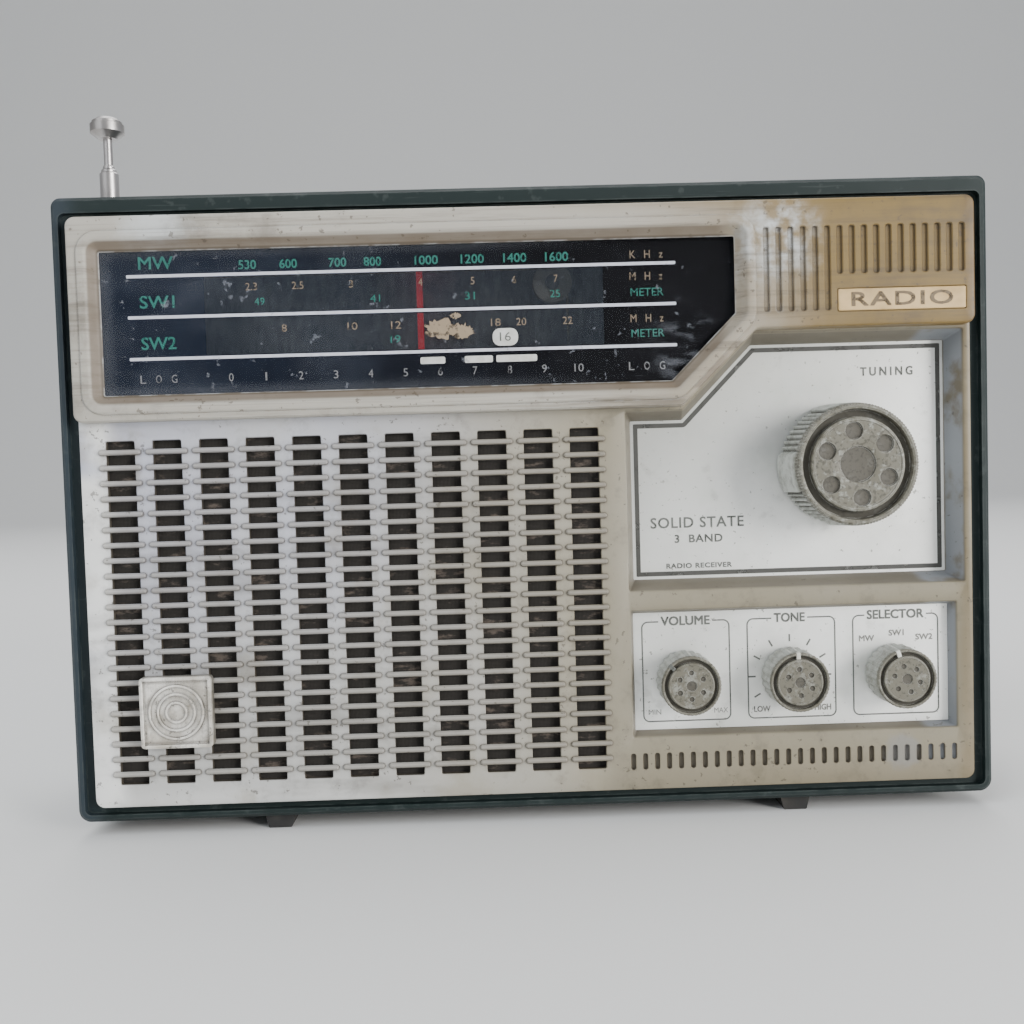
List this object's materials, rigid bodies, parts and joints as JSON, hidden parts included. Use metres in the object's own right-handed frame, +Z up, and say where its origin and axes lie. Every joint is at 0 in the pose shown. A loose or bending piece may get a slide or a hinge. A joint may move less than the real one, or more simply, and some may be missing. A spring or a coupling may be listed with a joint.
{
  "type": "portable radio receiver",
  "caption": "Slab-shaped portable three-band radio receiver with slotted grille, slide-rule dial, four knobs, folding handle and telescopic aerial.",
  "frame": {"origin": "on the ground under the middle of the whole receiver's bounding box", "axes": "+X to the right along the front, +Y into the case (the front faces -Y), +Z up"},
  "size_m": [0.302, 0.087, 0.2426],
  "materials": {
    "case_plastic": "fine leather-grain slate grey",
    "panel_plastic": "silver-grey sprayed, worn",
    "bezel_plastic": "warm grey, yellowed",
    "window_acrylic": "printed on its back",
    "plate_aluminium": "satin, printed",
    "knob_plastic": "grey, grimy",
    "emblem_metal": "stamped, tarnished",
    "badge_plastic": "cream",
    "rubber": "dull",
    "steel": "zinc plated",
    "brass": "turned",
    "chrome": "polished",
    "cloth": "fine weave",
    "cord": "braided nylon",
    "pulley_plastic": "natural nylon",
    "pointer_red": "red",
    "phenolic": "brown laminate",
    "can_metal": "drawn cans",
    "epoxy": "black",
    "capacitor_sleeve": "blue sleeve",
    "core_iron": "laminated",
    "ferrite": "fired",
    "coil_wax": "waxed wire on paper",
    "cone_paper": "pressed pulp",
    "inner_plastic": "moulded"
  },
  "bodies": {
    "cabinet": {"cabinet_shell": "case_plastic", "rear_cover": "case_plastic", "feet": "rubber", "case_screws": "steel", "front_panel": "panel_plastic", "dial_bezel": "bezel_plastic", "dial_window": "window_acrylic", "nameplate_badge": "badge_plastic", "grille_emblem": "emblem_metal", "tuning_plate": "plate_aluminium", "control_plate": "plate_aluminium", "grille_cloth": "cloth", "tuning_bushing": "brass", "volume_control": "can_metal", "tone_control": "can_metal", "selector_control": "can_metal", "pot_nuts": "steel", "dial_chassis": "steel", "pulley_axles": "steel", "dial_cord": "cord", "pointer_rail": "steel", "main_pcb": "phenolic", "if_transformers": "can_metal", "transistors": "epoxy", "electrolytic_capacitors": "capacitor_sleeve", "audio_transformers": "core_iron", "gang_capacitor": "inner_plastic", "ferrite_rod": "ferrite", "antenna_coils": "coil_wax", "ferrite_clips": "inner_plastic", "speaker_basket": "steel", "speaker_cone": "cone_paper", "speaker_magnet": "ferrite", "speaker_screws": "steel", "battery_tray": "inner_plastic", "battery_terminals": "steel", "antenna_outer_tube": "chrome", "antenna_bushing": "chrome", "handle_pivots": "steel", "earphone_jack": "inner_plastic"},
    "tuning": {"tuning_knob": "knob_plastic", "tuning_spindle": "steel"},
    "drum": {"dial_drum": "pulley_plastic", "cord_spring": "steel"},
    "pulley_left": {"pulley_left": "pulley_plastic"},
    "pulley_right": {"pulley_right": "pulley_plastic"},
    "pulley_lower": {"pulley_lower": "pulley_plastic"},
    "pointer": {"dial_pointer": "pointer_red"},
    "volume": {"volume_knob": "knob_plastic", "volume_shaft": "steel"},
    "tone": {"tone_knob": "knob_plastic", "tone_shaft": "steel"},
    "selector": {"selector_knob": "knob_plastic", "selector_shaft": "steel"},
    "aerial_1": {"antenna_section_1": "chrome"},
    "aerial_2": {"antenna_section_2": "chrome"},
    "aerial_3": {"antenna_section_3": "chrome"},
    "aerial_tip": {"antenna_rod": "chrome"},
    "handle": {"carry_handle": "case_plastic"},
    "door": {"battery_door": "case_plastic"}
  },
  "joints": [
    {"name": "tuning_turn", "type": "hinge", "parent": "cabinet", "child": "tuning", "pos_m": [0.1036, -0.0315, 0.115], "axis": [0, 1, 0], "range_deg": [-856, 723]},
    {"name": "drum_turn", "type": "hinge", "parent": "cabinet", "child": "drum", "pos_m": [0.05, -0.0155, 0.113], "axis": [0, 1, 0], "range_deg": [-98, 83]},
    {"name": "pulley_left_turn", "type": "hinge", "parent": "cabinet", "child": "pulley_left", "pos_m": [-0.112, -0.0155, 0.189], "axis": [0, 1, 0], "range_deg": [-685, 579]},
    {"name": "pulley_right_turn", "type": "hinge", "parent": "cabinet", "child": "pulley_right", "pos_m": [0.1026, -0.0155, 0.189], "axis": [0, 1, 0], "range_deg": [-685, 579]},
    {"name": "pulley_lower_turn", "type": "hinge", "parent": "cabinet", "child": "pulley_lower", "pos_m": [0.01, -0.0155, 0.179], "axis": [0, 1, 0], "range_deg": [-579, 685]},
    {"name": "pointer_slide", "type": "slide", "parent": "cabinet", "child": "pointer", "axis": [1, 0, 0], "range_m": [-0.0599, 0.0506]},
    {"name": "volume_turn", "type": "hinge", "parent": "cabinet", "child": "volume", "pos_m": [0.05, -0.0315, 0.0451], "axis": [0, 1, 0], "range_deg": [-105, 195]},
    {"name": "tone_turn", "type": "hinge", "parent": "cabinet", "child": "tone", "pos_m": [0.0852, -0.0315, 0.0451], "axis": [0, 1, 0], "range_deg": [-117, 123]},
    {"name": "selector_turn", "type": "hinge", "parent": "cabinet", "child": "selector", "pos_m": [0.12, -0.0315, 0.0451], "axis": [0, 1, 0], "range_deg": [-38, 38]},
    {"name": "aerial_1_slide", "type": "slide", "parent": "cabinet", "child": "aerial_1", "axis": [0, 0, 1], "range_m": [-0.014, 0.128]},
    {"name": "aerial_2_slide", "type": "slide", "parent": "aerial_1", "child": "aerial_2", "axis": [0, 0, 1], "range_m": [0, 0.145]},
    {"name": "aerial_3_slide", "type": "slide", "parent": "aerial_2", "child": "aerial_3", "axis": [0, 0, 1], "range_m": [0, 0.143]},
    {"name": "aerial_tip_slide", "type": "slide", "parent": "aerial_3", "child": "aerial_tip", "axis": [0, 0, 1], "range_m": [0, 0.14]},
    {"name": "handle_fold", "type": "hinge", "parent": "cabinet", "child": "handle", "pos_m": [0, 0.0085, 0.2095], "axis": [1, 0, 0], "range_deg": [0, 90]},
    {"name": "battery_door_hinge", "type": "hinge", "parent": "cabinet", "child": "door", "pos_m": [-0.062, 0.04225, 0.1404], "axis": [-1, 0, 0], "range_deg": [0, 90]}
  ],
  "couplings": [
    {"joint": "drum_turn", "follows": "tuning_turn", "ratio": 0.11429},
    {"joint": "pulley_left_turn", "follows": "tuning_turn", "ratio": 0.8},
    {"joint": "pulley_right_turn", "follows": "tuning_turn", "ratio": 0.8},
    {"joint": "pulley_lower_turn", "follows": "tuning_turn", "ratio": -0.8},
    {"joint": "pointer_slide", "follows": "tuning_turn", "m_per_rad": 0.004}
  ]
}
